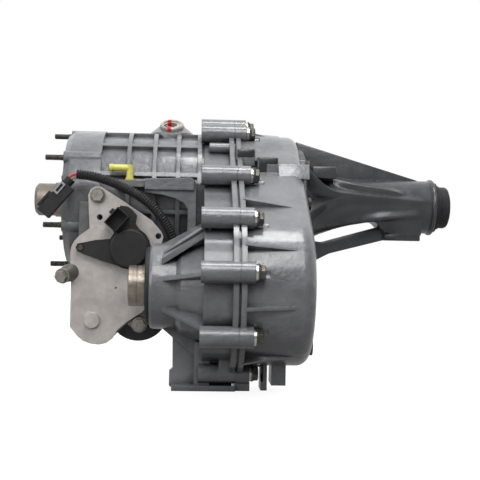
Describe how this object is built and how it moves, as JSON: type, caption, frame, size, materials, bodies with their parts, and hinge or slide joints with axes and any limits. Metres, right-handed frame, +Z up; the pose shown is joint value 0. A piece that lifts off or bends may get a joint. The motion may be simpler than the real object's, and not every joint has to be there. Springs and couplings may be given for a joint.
{
  "type": "transfer case",
  "caption": "Four-wheel-drive transfer case: ribbed aluminium barrel, chain case with low front output, finned tail housing and electric shift motor with its lead.",
  "frame": {"origin": "centre of the front mounting face, on the main shaft axis", "axes": "+X runs rearward along the main shaft, +Z up as mounted, -Y the side with the shift motor"},
  "size_m": [0.594, 0.4081, 0.3602],
  "materials": {
    "front_case": "cast aluminium, slightly rough",
    "rear_case": "cast aluminium, slightly rough",
    "extension_housing": "cast aluminium, slightly rough",
    "input_gear": "machined steel",
    "main_shaft": "machined steel",
    "front_output_shaft": "machined steel",
    "annulus_gear": "machined steel",
    "planet_carrier": "machined steel",
    "planet_gear_1": "machined steel",
    "planet_gear_2": "machined steel",
    "planet_gear_3": "machined steel",
    "planet_gear_4": "machined steel",
    "range_sleeve": "machined steel",
    "mode_hub": "machined steel",
    "mode_sleeve": "machined steel",
    "drive_sprocket": "machined steel",
    "driven_sprocket": "machined steel",
    "drive_chain": "machined steel",
    "output_gear": "machined steel",
    "idler_gear": "machined steel",
    "motor_pinion": "machined steel",
    "sector_plate": "machined steel",
    "sector_shaft": "machined steel",
    "shift_rail": "machined steel",
    "tone_wheel": "machined steel",
    "dowels": "machined steel",
    "magnet": "machined steel",
    "input_bearing": "ground bearing steel",
    "front_output_bearing": "ground bearing steel",
    "pocket_bearing": "ground bearing steel",
    "rear_bearing": "ground bearing steel",
    "front_output_slinger": "black coated steel and rubber lip",
    "input_seal": "black seal rubber",
    "rear_seal": "black seal rubber",
    "dust_boot": "black rubber",
    "tail_bushing": "bronze bush",
    "sector_bush": "bronze bush",
    "range_fork": "cast fork",
    "mode_fork": "cast fork",
    "motor_can": "black painted can",
    "gearbox_housing": "black moulded housing",
    "cover_plate": "pressed aluminium",
    "position_sensor": "black moulded plastic",
    "sensor_screw": "black screw",
    "motor_bolts": "dull plated steel",
    "motor_spacer": "cast aluminium",
    "oil_pump": "cast aluminium",
    "pickup_tube": "steel tube and screen",
    "speed_sensor": "black moulded plastic",
    "adapter_studs": "black studs",
    "case_bolts": "olive black plated steel",
    "case_washers": "bright zinc washers",
    "tail_bolts": "olive black plated steel",
    "fill_plug": "plated steel",
    "drain_plug": "plated steel",
    "vent": "yellow moulded plastic",
    "conduit": "black corrugated conduit",
    "lead_wires": "insulated wire",
    "connector_body": "black connector",
    "connector_lock": "grey lock"
  },
  "bodies": {
    "case": {"front_case": "front_case", "rear_case": "rear_case", "extension_housing": "extension_housing", "annulus_gear": "annulus_gear", "drive_chain": "drive_chain", "shift_rail": "shift_rail", "dowels": "dowels", "magnet": "magnet", "input_bearing": "input_bearing", "front_output_bearing": "front_output_bearing", "pocket_bearing": "pocket_bearing", "rear_bearing": "rear_bearing", "input_seal": "input_seal", "rear_seal": "rear_seal", "dust_boot": "dust_boot", "tail_bushing": "tail_bushing", "sector_bush": "sector_bush", "motor_can": "motor_can", "gearbox_housing": "gearbox_housing", "cover_plate": "cover_plate", "position_sensor": "position_sensor", "sensor_screw": "sensor_screw", "motor_bolts": "motor_bolts", "motor_spacer": "motor_spacer", "oil_pump": "oil_pump", "pickup_tube": "pickup_tube", "speed_sensor": "speed_sensor", "adapter_studs": "adapter_studs", "case_bolts": "case_bolts", "case_washers": "case_washers", "tail_bolts": "tail_bolts", "fill_plug": "fill_plug", "drain_plug": "drain_plug", "vent": "vent", "conduit": "conduit", "lead_wires": "lead_wires", "connector_body": "connector_body", "connector_lock": "connector_lock"},
    "input": {"input_gear": "input_gear"},
    "main": {"main_shaft": "main_shaft", "mode_hub": "mode_hub", "tone_wheel": "tone_wheel"},
    "carrier": {"planet_carrier": "planet_carrier"},
    "planet_1": {"planet_gear_1": "planet_gear_1"},
    "planet_2": {"planet_gear_2": "planet_gear_2"},
    "planet_3": {"planet_gear_3": "planet_gear_3"},
    "planet_4": {"planet_gear_4": "planet_gear_4"},
    "range_slider": {"range_sleeve": "range_sleeve"},
    "mode_slider": {"mode_sleeve": "mode_sleeve"},
    "upper_sprocket": {"drive_sprocket": "drive_sprocket"},
    "front_output": {"front_output_shaft": "front_output_shaft", "driven_sprocket": "driven_sprocket", "front_output_slinger": "front_output_slinger"},
    "sector": {"sector_plate": "sector_plate", "sector_shaft": "sector_shaft", "output_gear": "output_gear"},
    "idler": {"idler_gear": "idler_gear"},
    "pinion": {"motor_pinion": "motor_pinion"},
    "range_shift": {"range_fork": "range_fork"},
    "mode_shift": {"mode_fork": "mode_fork"}
  },
  "joints": [
    {"name": "input_spin", "type": "hinge", "parent": "case", "child": "input", "pos_m": [0, 0, 0], "axis": [1, 0, 0], "continuous": true},
    {"name": "main_spin", "type": "hinge", "parent": "case", "child": "main", "pos_m": [0.2, 0, 0], "axis": [1, 0, 0], "continuous": true},
    {"name": "carrier_spin", "type": "hinge", "parent": "case", "child": "carrier", "pos_m": [0.05, 0, 0], "axis": [1, 0, 0], "continuous": true},
    {"name": "planet_1_spin", "type": "hinge", "parent": "carrier", "child": "planet_1", "pos_m": [0.052, 0.0475, 0], "axis": [1, 0, 0], "continuous": true},
    {"name": "planet_2_spin", "type": "hinge", "parent": "carrier", "child": "planet_2", "pos_m": [0.052, 0, 0.0475], "axis": [1, 0, 0], "continuous": true},
    {"name": "planet_3_spin", "type": "hinge", "parent": "carrier", "child": "planet_3", "pos_m": [0.052, -0.0475, 0], "axis": [1, 0, 0], "continuous": true},
    {"name": "planet_4_spin", "type": "hinge", "parent": "carrier", "child": "planet_4", "pos_m": [0.052, 0, -0.0475], "axis": [1, 0, 0], "continuous": true},
    {"name": "sprocket_spin", "type": "hinge", "parent": "case", "child": "upper_sprocket", "pos_m": [0.262, 0, 0], "axis": [1, 0, 0], "continuous": true},
    {"name": "front_output_spin", "type": "hinge", "parent": "case", "child": "front_output", "pos_m": [0.2, -0.17693, -0.11228], "axis": [1, 0, 0], "continuous": true},
    {"name": "sector_turn", "type": "hinge", "parent": "case", "child": "sector", "pos_m": [0.089, -0.09, -0.067], "axis": [0, 1, 0], "range_deg": [0, 60]},
    {"name": "idler_turn", "type": "hinge", "parent": "case", "child": "idler", "pos_m": [0.09412, -0.113, -0.11925], "axis": [0, 1, 0], "range_deg": [-66.01, 0]},
    {"name": "motor_turn", "type": "hinge", "parent": "case", "child": "pinion", "pos_m": [0.106, -0.113, -0.1495], "axis": [0, 1, 0], "range_deg": [0, 220.01]},
    {"name": "range_fork_slide", "type": "slide", "parent": "case", "child": "range_shift", "axis": [1, 0, 0], "range_m": [0, 0.015]},
    {"name": "range_sleeve_slide", "type": "slide", "parent": "main", "child": "range_slider", "axis": [1, 0, 0], "range_m": [0, 0.015]},
    {"name": "mode_fork_slide", "type": "slide", "parent": "case", "child": "mode_shift", "axis": [1, 0, 0], "range_m": [0, 0.012]},
    {"name": "mode_sleeve_slide", "type": "slide", "parent": "main", "child": "mode_slider", "axis": [1, 0, 0], "range_m": [0, 0.012]}
  ],
  "couplings": [
    {"joint": "main_spin", "follows": "input_spin", "ratio": 1},
    {"joint": "carrier_spin", "follows": "input_spin", "ratio": 0.36842},
    {"joint": "planet_1_spin", "follows": "input_spin", "ratio": -1.7684},
    {"joint": "planet_2_spin", "follows": "input_spin", "ratio": -1.7684},
    {"joint": "planet_3_spin", "follows": "input_spin", "ratio": -1.7684},
    {"joint": "planet_4_spin", "follows": "input_spin", "ratio": -1.7684},
    {"joint": "sprocket_spin", "follows": "input_spin", "ratio": 1},
    {"joint": "front_output_spin", "follows": "input_spin", "ratio": 1},
    {"joint": "idler_turn", "follows": "sector_turn", "ratio": -1.1},
    {"joint": "motor_turn", "follows": "sector_turn", "ratio": 3.6667},
    {"joint": "range_fork_slide", "follows": "sector_turn", "m_per_rad": 0.014324},
    {"joint": "range_sleeve_slide", "follows": "sector_turn", "m_per_rad": 0.014324},
    {"joint": "mode_fork_slide", "follows": "sector_turn", "m_per_rad": 0.011459},
    {"joint": "mode_sleeve_slide", "follows": "sector_turn", "m_per_rad": 0.011459}
  ]
}
